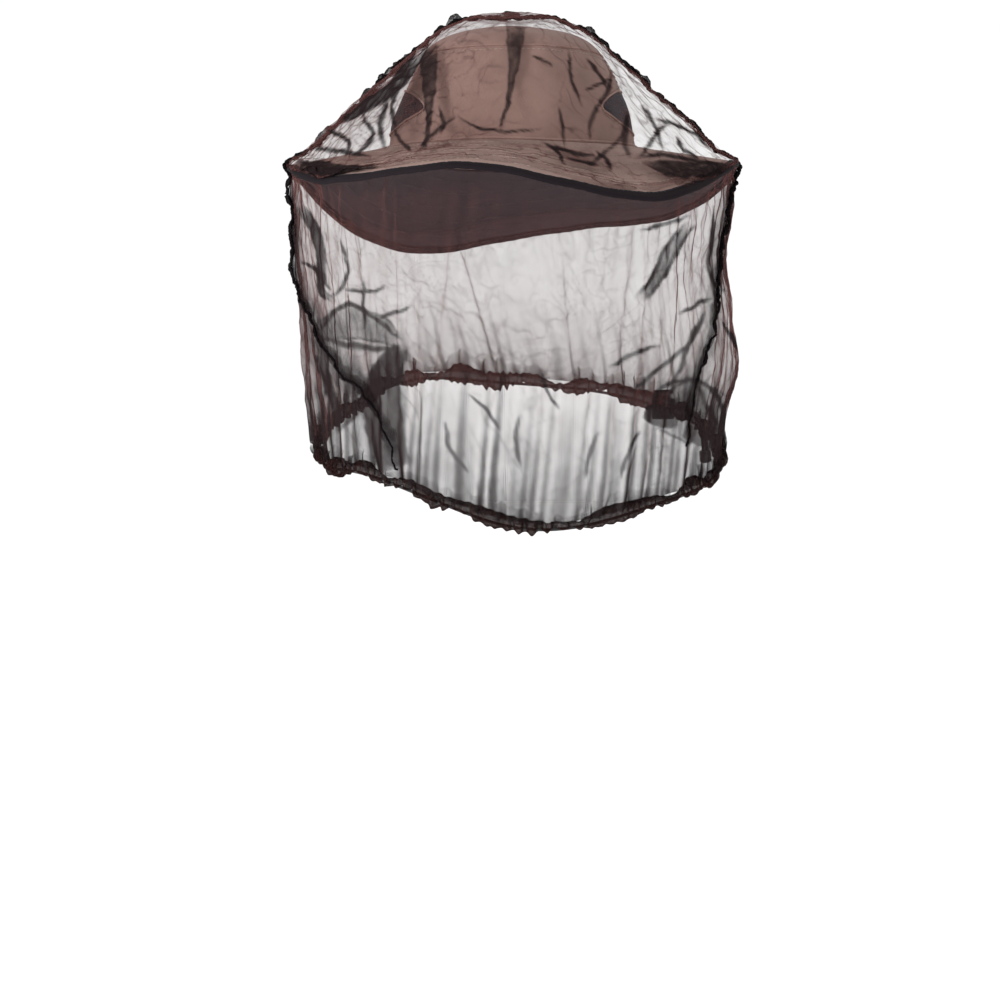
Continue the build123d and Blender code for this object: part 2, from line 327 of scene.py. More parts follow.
def net_material(name, cover, colour, gathered=False, thin_lit_colour=None):
    """Fine black net: the threads cover a share of it, and more of it where it is seen edge on."""
    t = Tree(name)
    tc, u, v = t.uv()
    pitch = 0.0008
    third = t.add(t.mul(u, 0.5), t.mul(v, 0.866))
    fourth = t.sub(t.mul(u, 0.5), t.mul(v, 0.866))
    threads = t.add(t.wave(u, pitch, 12.0), t.wave(third, pitch, 12.0))
    threads = t.add(threads, t.wave(fourth, pitch, 12.0))
    uneven = t.noise(tc.outputs["Object"], 55.0, 4.0, 0.6)
    c = t.mul(t.scale(threads, cover * 0.7, cover * 0.55), t.scale(uneven, 0.9, 0.55))
    if gathered:
        more = t.node("ShaderNodeAttribute", {"attribute_name": "gather"})
        c = t.mul(c, more.outputs["Fac"])
    lw = t.node("ShaderNodeLayerWeight")
    lw.inputs[0].default_value = 0.5
    cos = t.math("MAXIMUM", t.sub(1.0, lw.outputs["Facing"]), 0.13)
    open_share = t.math("POWER", t.sub(1.0, t.math("MINIMUM", c, 0.9)), t.math("DIVIDE", 1.0, cos))
    shade = t.sub(1.0, open_share, clamp=True)
    clear = t.node("ShaderNodeBsdfTransparent")
    diff = t.node("ShaderNodeBsdfDiffuse")
    diff.inputs["Color"].default_value = rgb(*colour)
    back = t.node("ShaderNodeBsdfTranslucent")
    back.inputs["Color"].default_value = rgb(*(x * 1.1 for x in colour))
    if thin_lit_colour:
        # painted light and shade: a single layer's threads are tinted warm as if lit through, and many layers
        # are painted near black as the shade among them
        layers = t.scale(more.outputs["Fac"], 0.45, -0.4, clamp=True)
        tint = t.mix(layers, rgb(*thin_lit_colour), rgb(*colour))
        t.put(diff.inputs["Color"], tint)
        t.put(back.inputs["Color"], tint)
    body = t.node("ShaderNodeMixShader")
    body.inputs[0].default_value = 0.35
    t.nt.links.new(diff.outputs[0], body.inputs[1])
    t.nt.links.new(back.outputs[0], body.inputs[2])
    m = t.node("ShaderNodeMixShader")
    t.put(m.inputs[0], shade)
    t.nt.links.new(clear.outputs[0], m.inputs[1])
    t.nt.links.new(body.outputs[0], m.inputs[2])
    t.nt.links.new(m.outputs[0], t.out.inputs[0])
    return t.mat


def plastic_material(name, colour, rough=0.45):
    t = Tree(name)
    tc, _, _ = t.uv()
    obj = tc.outputs["Object"]
    grain = t.noise(obj, 2600.0, 2.0)
    wear = t.noise(obj, 120.0, 4.0, 0.6)
    bmp = t.node("ShaderNodeBump", None, Strength=0.15, Distance=0.0001)
    t.put(bmp.inputs["Height"], grain)
    p = t.node("ShaderNodeBsdfPrincipled")
    t.put(p.inputs["Base Color"], t.mix(wear, rgb(*colour), rgb(*(c * 1.7 + 0.006 for c in colour))))
    t.put(p.inputs["Roughness"], t.scale(wear, 0.25, rough - 0.12))
    t.put(p.inputs["Normal"], bmp.outputs[0])
    t.nt.links.new(p.outputs[0], t.out.inputs[0])
    return t.mat


def steel_material(name):
    t = Tree(name)
    tc, _, _ = t.uv()
    n = t.noise(tc.outputs["Object"], 1500.0, 3.0)
    p = t.node("ShaderNodeBsdfPrincipled", None, Metallic=1.0)
    t.put(p.inputs["Base Color"], t.mix(n, rgb(0.45, 0.45, 0.46), rgb(0.66, 0.66, 0.67)))
    t.put(p.inputs["Roughness"], t.scale(n, 0.2, 0.22))
    t.nt.links.new(p.outputs[0], t.out.inputs[0])
    return t.mat


M_HAT = cloth_material("hat_taupe", (0.26, 0.162, 0.137), (0.47, 0.31, 0.262),
                       0.0008, 0.9, 0.3, 0.1, 16.0, True)
M_LINING = cloth_material("brim_lining", (0.02, 0.014, 0.019), (0.036, 0.027, 0.034), 0.0006, 0.9, 0.25, 0.1)
M_BINDING = cloth_material("binding_tape", (0.011, 0.008, 0.010), (0.024, 0.018, 0.021),
                           0.0006, 0.85, 0.4, 0.0, gloss=0.08)
M_VENT = cloth_material("vent_mesh", (0.006, 0.007, 0.013), (0.02, 0.022, 0.036), 0.0016, 0.8, 0.8, 0.1)
M_SWEAT = cloth_material("sweatband", (0.03, 0.026, 0.026), (0.07, 0.06, 0.058), 0.0009, 0.95, 0.5, 0.2)
M_STIFF = cloth_material("stiffener", (0.3, 0.28, 0.25), (0.42, 0.4, 0.36), 0.0012, 0.95, 0.4, 0.0)
M_THREAD_HAT = cloth_material("thread_taupe", (0.42, 0.33, 0.27), (0.6, 0.5, 0.42), 0.0003, 0.7, 0.4, 0.2)
M_THREAD_DARK = cloth_material("thread_dark", (0.03, 0.03, 0.035), (0.08, 0.08, 0.09), 0.0003, 0.7, 0.4, 0.2)
M_CORD = cloth_material("braided_cord", (0.012, 0.012, 0.013), (0.05, 0.05, 0.052),
                        0.0007, 0.75, 0.9, 0.3, 40.0, True)
# the last colour is a painted warm light on a single layer of the net
M_NET = net_material("net_mesh", 0.188, (0.028, 0.019, 0.02), True, (0.16, 0.072, 0.067))
M_FOLD = net_material("net_folded", 0.85, (0.022, 0.015, 0.016), True)
M_NET_SEAM = net_material("net_seam", 0.85, (0.012, 0.009, 0.01))
M_HEM = net_material("net_gathered", 0.85, (0.03, 0.015, 0.014))
M_LOCK = plastic_material("lock_plastic", (0.016, 0.016, 0.018))
M_SPRING = steel_material("spring_steel")


# --------------------------------------------------------------------------------- hat surfaces
def smooth_path(points, per=12):
    """Catmull-Rom through points."""
    p = np.asarray(points, float)
    q = np.vstack([2 * p[0] - p[1], p, 2 * p[-1] - p[-2]])
    out = []
    for i in range(1, len(q) - 2):
        for k in range(per):
            t = k / per
            out.append(0.5 * (2 * q[i] + (q[i + 1] - q[i - 1]) * t
                              + (2 * q[i - 1] - 5 * q[i] + 4 * q[i + 1] - q[i + 2]) * t * t
                              + (3 * q[i] - q[i - 1] - 3 * q[i + 1] + q[i + 2]) * t ** 3))
    out.append(p[-1])
    return np.array(out)


CROWN_PROFILE = smooth_path([(80, -5), (80, 2), (71.5, 32), (58, 60), (44, 73), (22, 79), (0.4, 80)], 14)


def crown_r(z):
    return np.interp(z, CROWN_PROFILE[:, 1], CROWN_PROFILE[:, 0])


def brim_z(x, y):
    out = np.sqrt((x / BRIM[0]) ** 2 + (y / BRIM[1]) ** 2)
    t = (out - BRIM_ROOT) / (1 - BRIM_ROOT)
    t = 0.5 * (t + np.sqrt(t * t + 0.01))
    turn = np.arctan2(y / BRIM[1], x / BRIM[0])
    edge = edge_z(turn)
    blend = np.minimum(1.0, out / BRIM_ROOT)
    return (EDGE_MEAN + (edge - EDGE_MEAN) * blend ** 2) * t * (0.8 + 0.2 * t)


def edge_z(turn):
    waves = enumerate(EDGE_WAVES, 1)
    return EDGE_MEAN + sum(c * np.cos(n * turn) + s * np.sin(n * turn) for n, (c, s) in waves)


def crown_point(phi, z, lift=0.0):
    """A point of the crown's outer surface, lifted outwards, with the cloth's soft wrinkles."""
    r = crown_r(z)
    wrinkle = 0.8 * np.sin(7 * phi + 0.06 * z + 1.0) * np.sin(0.09 * z + 3 * phi)
    wrinkle = wrinkle + 0.4 * np.sin(13 * phi - 0.12 * z)
    wrinkle = wrinkle + 0.9 * np.sin(4 * phi - 0.05 * z + 0.4) * np.sin(0.05 * z + 5 * phi + 2)
    r = r + lift + wrinkle * np.clip(r / 60, 0, 1) * np.clip((z + 5) / 20, 0, 1)
    long = r * CROWN_RATIO - lift * (CROWN_RATIO - 1)
    return np.stack([r * np.cos(phi), long * np.sin(phi), z + 0 * phi], axis=-1)


def stitches(name, path, closed, mats, length=2.2, gap=1.2, radius=0.22):
    """A row of short raised stitches along a polyline."""
    path = np.asarray(path, float)
    if closed:
        path = np.vstack([path, path[:1]])
    d = length_along(path)
    count = max(1, int(d[-1] / (length + gap)))
    step = d[-1] / count
    verts, faces = [], []
    for k in range(count):
        s = np.linspace(k * step, k * step + length, 4)
        seg = np.stack([np.interp(s, d, path[:, a]) for a in range(3)], axis=1)
        v, f = tube_mesh(seg, radius * np.array([0.35, 1, 1, 0.35]), 5)
        base = len(verts)
        verts += list(v)
        faces += [tuple(i + base for i in q) for q in f]
    return make_piece(name, verts, faces, None, mats)


def build_hat():
    # crown: two wall panels and the domed top, each with its own thickness
    for name, lo, hi in (("crown_front_cloth", math.pi, TAU), ("crown_back_cloth", 0.0, math.pi)):
        phi = np.linspace(lo, hi, 91)
        z = np.linspace(-5, 60.6, 34)
        pp, zz = np.meshgrid(phi, z)
        v, f = shell_grid(crown_point(pp, zz), crown_point(pp, zz, -1.1), False)
        u = shell_uv(pp * 85, zz)
        make_piece(name, v, f, u, [M_HAT])
    phi = round_ring(180)
    prof = CROWN_PROFILE[CROWN_PROFILE[:, 1] > 59.0]
    zz, pp = np.meshgrid(prof[:, 1], phi, indexing="ij")
    rr = np.repeat(prof[:, :1], len(phi), axis=1)

    def top(lift):
        r = np.maximum(rr + 0.5 + lift * 0.5, 0.3)
        sag = 0.8 * np.sin(3 * pp + 0.5) * (rr / 58) * (1 - rr / 62)
        z = zz + 0.4 - 2.2 * np.clip((zz - 62) / 16, 0, 1) + lift * 0.6 + sag
        return np.stack([r * np.cos(pp), r * CROWN_RATIO * np.sin(pp), z], -1)

    v, f = shell_grid(top(0), top(-1.6), True)
    u = shell_uv(rr * np.cos(pp), rr * CROWN_RATIO * np.sin(pp))
    make_piece("crown_top_cloth", v, f, u, [M_HAT])
    ring = lambda z, lift: crown_point(round_ring(360), np.full(360, float(z)), lift)
    v, f = tube_mesh(ring(60.3, 0.2), 0.7, 8, True)
    make_piece("crown_top_seam", v, f, None, [M_HAT])
    stitches("crown_top_stitches", ring(57.4, 0.25), True, [M_THREAD_HAT])
    # the wall's two side seams, above the vents
    for s, phi0 in (("r", 0.0), ("l", math.pi)):
        zs = np.linspace(36, 60, 30)
        for d, tag in ((-0.03, "a"), (0.03, "b")):
            p = crown_point(np.full(30, phi0 + d), zs, 0.3)
            stitches("side_stitch_" + s + tag, p, False, [M_THREAD_HAT])
    # mesh vents with a turned, stitched border
    for s, sign in (("right", 1), ("left", -1)):
        yy = np.linspace(-61.5, 61.5, 60)
        half = np.sqrt(np.maximum(1 - (yy / 62) ** 2, 0))
        top_z, low_z = 21 + 16 * half ** 1.35, 21 - 11 * half ** 1.35
        tt = np.linspace(0, 1, 16)[:, None]
        z2 = low_z[None] + (top_z - low_z)[None] * tt
        y2 = np.repeat(yy[None], 16, 0)

        def on_wall(y, z, lift):
            phi = np.arcsin(np.clip(y / (crown_r(z) * CROWN_RATIO), -1, 1))
            p = crown_point(phi if sign > 0 else np.pi - phi, z, lift)
            return p
        bulge = 0.5 * np.sin(np.pi * tt) * np.ones_like(y2)
        v, f = shell_grid(on_wall(y2, z2, 0.45 + bulge), on_wall(y2, z2, 0.05), False)
        u = shell_uv(y2, z2)
        make_piece("vent_" + s, v, f, u, [M_VENT])
        edge = np.concatenate([on_wall(yy, top_z + 0.4, 0.5), on_wall(yy[::-1], low_z[::-1] - 0.4, 0.5)])
        v, f = tube_mesh(edge, 0.75, 7, True)
        make_piece("vent_border_" + s, v, f, None, [M_HAT])
        edge2 = np.concatenate([on_wall(yy, top_z + 2.4, 0.3), on_wall(yy[::-1], low_z[::-1] - 2.4, 0.3)])
        stitches("vent_stitches_" + s, edge2, True, [M_THREAD_HAT])
    # sweatband
    phi = round_ring(180)
    z = np.linspace(-5, 28, 12)
    pp, zz = np.meshgrid(phi, z)
    inner = crown_point(pp, zz, -2.7 - 0.3 * np.sin(np.pi * (zz + 5) / 33))
    v, f = shell_grid(crown_point(pp, zz, -1.35), inner, True)
    u = shell_uv(pp * 85, zz)
    make_piece("sweatband_cloth", v, f, u, [M_SWEAT])
    # brim: three cloths
    nu, nv = 360, 30
    phi = round_ring(nu)
    t = np.linspace(0, 1, nv)
    tt, pp = np.meshgrid(t, phi, indexing="ij")

    def brim(depth, reach=0.75):
        a = CROWN_W + 0.2 + (BRIM[0] - reach - CROWN_W) * tt
        b = CROWN_W * CROWN_RATIO + 0.2 + (BRIM[1] - reach - CROWN_W * CROWN_RATIO) * tt
        x, y = a * np.cos(pp), b * np.sin(pp)
        ripple = 0.35 * np.sin(11 * pp + 2.0) * tt + 0.25 * np.sin(23 * pp) * tt ** 2
        return np.stack([x, y, brim_z(x, y) - depth + ripple], -1)

    for name, top_d, low_d, m, slot in (("brim_upper_cloth", 0.0, 0.8, M_HAT, "hat_cloth"),
                                        ("brim_interlining", 0.85, 1.55, M_STIFF, "stiffener"),
                                        ("brim_under_cloth", 1.6, 2.4, M_LINING, "brim_lining")):
        v, f = shell_grid(brim(low_d), brim(top_d), True)
        u = shell_uv(pp * 140, tt * 70)
        make_piece(name, v, f, u, [m])

    def on_brim(inset, depth):
        a, b = BRIM[0] - inset, BRIM[1] - inset
        x, y = a * np.cos(phi), b * np.sin(phi)
        k = (a - CROWN_W) / (BRIM[0] - CROWN_W)
        ripple = 0.35 * np.sin(11 * phi + 2.0) * k + 0.25 * np.sin(23 * phi) * k ** 2
        return np.stack([x, y, brim_z(x, y) - depth + ripple], -1)

    # the tape's cross-section: (in from the brim's edge, down from the brim's top)
    section = [(5.6, 0.0), (5.5, -0.45), (4.2, -0.6), (2.0, -0.6), (0.7, -0.35), (0.0, 0.4), (-0.1, 1.2),
               (0.0, 2.0), (0.7, 2.75), (2.0, 3.0), (4.2, 3.0), (5.5, 2.85), (5.6, 2.4)]
    pucker = 0.12 * ring_noise(phi, 90, 140, 3)
    rows = []
    for inset, depth in section:
        p = on_brim(inset, depth)
        if depth < 0 or depth > 2.4:
            p[:, 2] += pucker * (1 if depth < 0 else -1)
        rows.append(p)
    rows = np.array(rows)
    nvb = len(section)
    faces = [tuple(reversed(q)) for q in grid_faces(nvb, nu, True)]
    round_edge, across = np.repeat((phi * 160)[None], nvb, 0), np.repeat(np.arange(nvb)[:, None], nu, 1) * 1.2
    uv = np.stack([round_edge, across], -1).reshape(-1, 2) * MM
    make_piece("binding_tape", rows.reshape(-1, 3), faces, uv, [M_BINDING])
    stitches("binding_stitches_top", on_brim(4.5, -0.66), True, [M_THREAD_DARK])
    stitches("binding_stitches_under", on_brim(4.5, 3.06), True, [M_THREAD_DARK])
    for k, inset in enumerate((14, 24, 36, 48, 59)):
        for tag, depth, thread, slot in (("", -0.15, M_THREAD_HAT, "hat_cloth"),
                                         ("u", 2.55, M_THREAD_DARK, "brim_lining")):
            stitches(f"brim_stitches_{tag}{k}", on_brim(inset, depth), True, [thread], 2.6, 1.4, 0.2)
    # seam between crown and brim
    long = CROWN_W * CROWN_RATIO
    z = brim_z((CROWN_W + 1) * np.cos(phi), (long + 1) * np.sin(phi)) + 0.7
    base = np.stack([(CROWN_W + 0.9) * np.cos(phi), (long + 0.9) * np.sin(phi), z], -1)
    v, f = tube_mesh(base, 1.0, 8, True)
    make_piece("crown_brim_seam", v, f, None, [M_HAT])
    for name, node in (("crown_front_cloth", "crown_front_panel"), ("crown_back_cloth", "crown_back_panel"),
                       ("crown_top_cloth", "crown_top_panel"), ("vent_right", "vent_mesh_right"),
                       ("vent_left", "vent_mesh_left"), ("sweatband_cloth", "sweatband"),
                       ("brim_upper_cloth", "brim_top_cloth"), ("brim_interlining", "brim_stiffener"),
                       ("brim_under_cloth", "brim_lining"), ("binding_tape", "brim_binding")):
        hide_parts(node)


# ------------------------------------------------------------------------------------------ net
# the net's grid: columns round, rows from the top to the brim's edge, and rows from there to the hem
NU, ROWS_A, ROWS_B = 360, 66, 84
FRAMES = 42
# where the hem rides up: (degrees round, mm up, width in degrees)
HEM_LIFTS = ((224, 22, 26), (250, 7, 18), (311, 6, 22), (180, 6, 18), (125, 12, 24))


def brim_turns(count):
    """Angles that space points evenly along the brim's edge."""
    fine = np.linspace(0, TAU, 4001)
    xy = np.stack([BRIM[0] * np.cos(fine), BRIM[1] * np.sin(fine)], 1)
    d = length_along(xy)
    return np.interp(np.linspace(0, d[-1], count, endpoint=False), d, fine)


def hem_point(phi, out=0.0, up=0.0):
    """The line of the drawcord round the hem, moved outwards and up in the hem's own plane."""
    a, b = HEM_HALF[0] + out, HEM_HALF[1] + out
    x, y = a * np.cos(phi), b * np.sin(phi)
    lift = sum(h * np.exp(-(((np.degrees(phi) - c + 180) % 360 - 180) / w) ** 2) for c, h, w in HEM_LIFTS)
    z = up + lift
    c, s = math.cos(HEM_TILT), math.sin(HEM_TILT)
    return np.stack([HEM_C[0] + x, HEM_C[1] + y * c - z * s, HEM_C[2] + y * s + z * c], -1)


def resample(poly, count):
    d = length_along(poly)
    s = np.linspace(0, d[-1], count)
    return np.stack([np.interp(s, d, poly[:, a]) for a in range(3)], 1)


def net_start():
    """The net as it is dropped over the hat: down the crown, out to the brim, and in to the hem."""
    phis = brim_turns(NU)
    pts = np.zeros((ROWS_A + ROWS_B - 1, NU, 3))
    for i, phi in enumerate(phis):
        c, s = math.cos(phi), math.sin(phi)
        ez = edge_z(phi) + 1.6
        upper = [(5 * c, 7 * s, 85.0), (32 * c, 43 * s, 84.5), (50 * c, 66 * s, 79), (61 * c, 80 * s, 68)]
        for f in (0.25, 0.5, 0.75):
            x, y = (61 + (149.5 - 61) * f) * c, (80 + (174.5 - 80) * f) * s
            upper.append((x, y, max(68 + (ez - 68) * f - 4 * math.sin(math.pi * f), float(brim_z(x, y)) + 4)))
        upper += [(150.0 * c, 175.0 * s, ez)]
        edge = np.array((150.0 * c, 175.0 * s, ez))
        hem = hem_point(np.array(phi), 0.5, 1.0)
        lower = [edge]
        for f in (0.08, 0.3, 0.55, 0.8):
            p = edge + (hem - edge) * f
            p[:2] = edge[:2] + (hem[:2] - edge[:2]) * (f ** 1.6)
            lower.append(p)
        lower.append(hem)
        a = resample(smooth_path(upper, 6), ROWS_A)
        b = resample(smooth_path(lower, 8), ROWS_B)
        pts[:ROWS_A, i] = a
        pts[ROWS_A - 1:, i] = b
    return phis, pts


def fold_bias(phis, pts):
    """Small first ripples that the cloth's folds grow from: seeded, and larger near the hem."""
    nv = pts.shape[0]
    v = np.linspace(0, 1, nv)[:, None]
    centre = np.array((0.0, -5.0))
    out = pts[:, :, :2] - centre
    out /= np.linalg.norm(out, axis=2)[:, :, None] + 1e-9
    drift = 0.25 * np.sin(5 * v + 1) * np.ones((1, len(phis)))
    p = phis[None, :] + drift * 0.2
    low = ring_noise(p, 5, 14, 11, 0.3)
    mid = ring_noise(p + 0.1 * v, 14, 34, 12, 0.3)
    high = ring_noise(p, 36, 60, 13, 0.2)
    hemward = np.clip((v - 0.62) / 0.38, 0, 1)
    amp = 1.2 * low * (0.3 + v) + 0.9 * mid * (0.2 + hemward) + 1.7 * high * hemward ** 2
    edge_row = (ROWS_A - 1) / (nv - 1)
    amp *= np.clip(np.abs(v - edge_row) / 0.05, 0.15, 1)
    amp *= np.clip((v - 0.04) / 0.05, 0, 1)
    moved = pts.copy()
    moved[:, :, :2] += out * amp[:, :, None]
    moved[:ROWS_A, :, 2] += np.abs(amp[:ROWS_A]) * 0.6
    return moved


def simulate_net(pts):
    """Drops the net over the hat as cloth, and gives back where it settles."""
    nv = pts.shape[0]
    net = make_piece("net_sim", pts.reshape(-1, 3), grid_faces(nv, NU, True), None, [], None)
    # what it falls over: the crown, the brim's top and the rounded edge
    blocks = []
    ph = round_ring(120)
    zz, pp = np.meshgrid(CROWN_PROFILE[:, 1], ph, indexing="ij")
    rr = np.repeat(CROWN_PROFILE[:, :1], 120, 1) + 0.8
    crown = np.stack([rr * np.cos(pp), rr * 1.25 * np.sin(pp), zz + 0.8], -1)
    faces = grid_faces(len(CROWN_PROFILE), 120, True)
    blocks.append(make_piece("block_crown", crown.reshape(-1, 3), faces, None, [], None))
    tt, pp = np.meshgrid(np.linspace(0, 1, 24), round_ring(240), indexing="ij")
    x, y = (78 + 69.5 * tt) * np.cos(pp), (97 + 75.5 * tt) * np.sin(pp)
    brim = np.stack([x, y, brim_z(x, y) + 0.6], -1)
    faces = [tuple(reversed(q)) for q in grid_faces(24, 240, True)]
    blocks.append(make_piece("block_brim", brim.reshape(-1, 3), faces, None, [], None))
    ph = round_ring(300)
    x, y = 146.0 * np.cos(ph), 171.0 * np.sin(ph)
    v, f = tube_mesh(np.stack([x, y, brim_z(x, y) - 1.3], -1), 2.2, 8, True)
    blocks.append(make_piece("block_edge", v, f, None, [], None))
    for b in blocks:
        b.modifiers.new("Collision", "COLLISION")
        b.collision.thickness_outer = 0.0015
        b.collision.thickness_inner = 0.003
        b.collision.cloth_friction = 12.0
        b.hide_render = True
    pin = net.vertex_groups.new(name="pin")
    grow = net.vertex_groups.new(name="grow")
    for j in range(nv):
        ids = list(range(j * NU, (j + 1) * NU))
        if j <= 8 or j >= nv - 2:
            pin.add(ids, 1.0, "REPLACE")
        edge = math.exp(-((j - ROWS_A + 1) / 5.0) ** 2)
        low = max(0.0, (j - ROWS_A) / ROWS_B)
        w = (0.42 if j < ROWS_A else 0.3) * (1 - edge) + 0.75 * low ** 2
        if j > 8:
            grow.add(ids, float(min(1.0, max(0.0, w))), "REPLACE")
    cloth = net.modifiers.new("Cloth", "CLOTH")
    s = cloth.settings
    s.quality = 5
    s.mass = 0.012
    s.air_damping = 2.0
    s.tension_stiffness = 22
    s.compression_stiffness = 22
    s.shear_stiffness = 6
    s.bending_stiffness = 0.012
    s.tension_damping = 3
    s.compression_damping = 3
    s.shear_damping = 3
    s.bending_damping = 0.3
    s.vertex_group_mass = "pin"
    s.vertex_group_shrink = "grow"
    s.shrink_min = -0.005
    s.shrink_max = -0.24
    cloth.collision_settings.use_collision = True
    cloth.collision_settings.distance_min = 0.001
    cloth.collision_settings.collision_quality = 3
    cloth.collision_settings.use_self_collision = False
    cloth.point_cache.frame_start, cloth.point_cache.frame_end = 1, FRAMES
    scene.frame_start, scene.frame_end = 1, FRAMES
    for frame_no in range(1, FRAMES + 1):
        scene.frame_set(frame_no)
    deps = bpy.context.evaluated_depsgraph_get()
    done = net.evaluated_get(deps).to_mesh()
    co = np.empty(len(done.vertices) * 3)
    done.vertices.foreach_get("co", co)
    net.evaluated_get(deps).to_mesh_clear()
    result = co.reshape(nv, NU, 3) / MM
    for o in blocks + [net]:
        bpy.data.objects.remove(o, do_unlink=True)
    scene.frame_set(1)
    return result


build_hat()
PHIS, START = net_start()
NET = fold_bias(PHIS, START)
NET = simulate_net(NET)


def catmull_clark_grid(pts):
    """Twice as fine a grid, smoothed (a subdivision step written for a wrapped grid)."""
    nv, nu, _ = pts.shape
    nxt, prv = np.roll(pts, -1, 1), np.roll(pts, 1, 1)
    even = pts * 0.75 + (nxt + prv) * 0.125
    odd = (pts + nxt) * 0.5
    wide = np.empty((nv, nu * 2, 3))
    wide[:, 0::2], wide[:, 1::2] = even, odd
    rows = np.empty((nv * 2 - 1, nu * 2, 3))
    inner = wide.copy()
    inner[1:-1] = wide[1:-1] * 0.75 + (wide[2:] + wide[:-2]) * 0.125
    rows[0::2] = inner
    rows[1::2] = (wide[1:] + wide[:-1]) * 0.5
    return rows


# Folds and seams are set out as seen from a standing point in front of the face: (x, z) in mm in the
# plane of the side seams, carried along the line of sight to the net's near surface.
SEEN_FROM = np.array((-8.0, -2600.0, -227.5))
SEAM_PATHS = (
    ([(147, -10), (140, -32), (136, -55), (133, -75), (132, -91), (130, -110), (128, -124),
      (122, -138), (117, -153), (116, -169), (112, -192)], (5, 4.5, 4.5, 5.5, 6, 6, 5, 5, 6, 6.5, 6.5)),
    ([(-146, -10), (-143, -32), (-141, -52), (-142, -72), (-138, -91), (-130, -107), (-122, -127),
      (-109, -143), (-96, -157), (-87, -170), (-80, -188),
      (-73, -207)], (4, 4, 4, 5, 6, 8, 9, 9, 9, 10, 12, 10)),
)
WIDE_FOLDS = (
    ([(3, 84), (2, 72), (1, 58), (0, 49), (-2, 36), (-5, 25),
      (-7, 12)], (12, 10, 6.5, 4, 2, 1.6, 1), 0.42),
    ([(-53, 70), (-54, 58), (-54, 46), (-54, 32), (-54, 21), (-55, 10),
      (-57, -1)], (9, 10, 8.5, 6, 2.6, 1.6, 1.3), 0.42),
    ([(116, -47), (104, -65), (93, -84), (83, -98)], (6, 7, 7, 5), 0.3),
    ([(-138, -36), (-128, -53), (-124, -73), (-124, -91), (-115, -99)], (5, 6, 5, 4, 3), 0.4),
    ([(-124, -118), (-106, -112), (-86, -117), (-71, -126)], (12, 22, 17, 5), 0.22),
    ([(-125, -133), (-120, -153), (-114, -169), (-113, -183)], (5, 4.5, 4, 2.5), 0.4),
    ([(-72, -128), (-81, -144), (-85, -162), (-83, -182), (-76, -207)], (10, 18, 22, 20, 20), 0.8),
    ([(93, -170), (116, -170), (138, -173)], (20, 42, 26), 0.12),
    ([(86, -170), (96, -173), (108, -176)], (8, 11, 9), 0.75),
    ([(112, -182), (122, -187), (130, -192)], (8, 9, 6), 0.75),
    ([(84, -8), (104, -12), (124, -13), (144, -11)], (2, 9, 9, 4), 0.4),
    ([(-142, -9), (-124, -12), (-105, -14), (-88, -10)], (5, 8, 7, 2), 0.45),
    ([(-60, 62), (-70, 50), (-78, 40), (-96, 28), (-112, 18)], (6, 8, 7, 6, 3), 0.55),
)
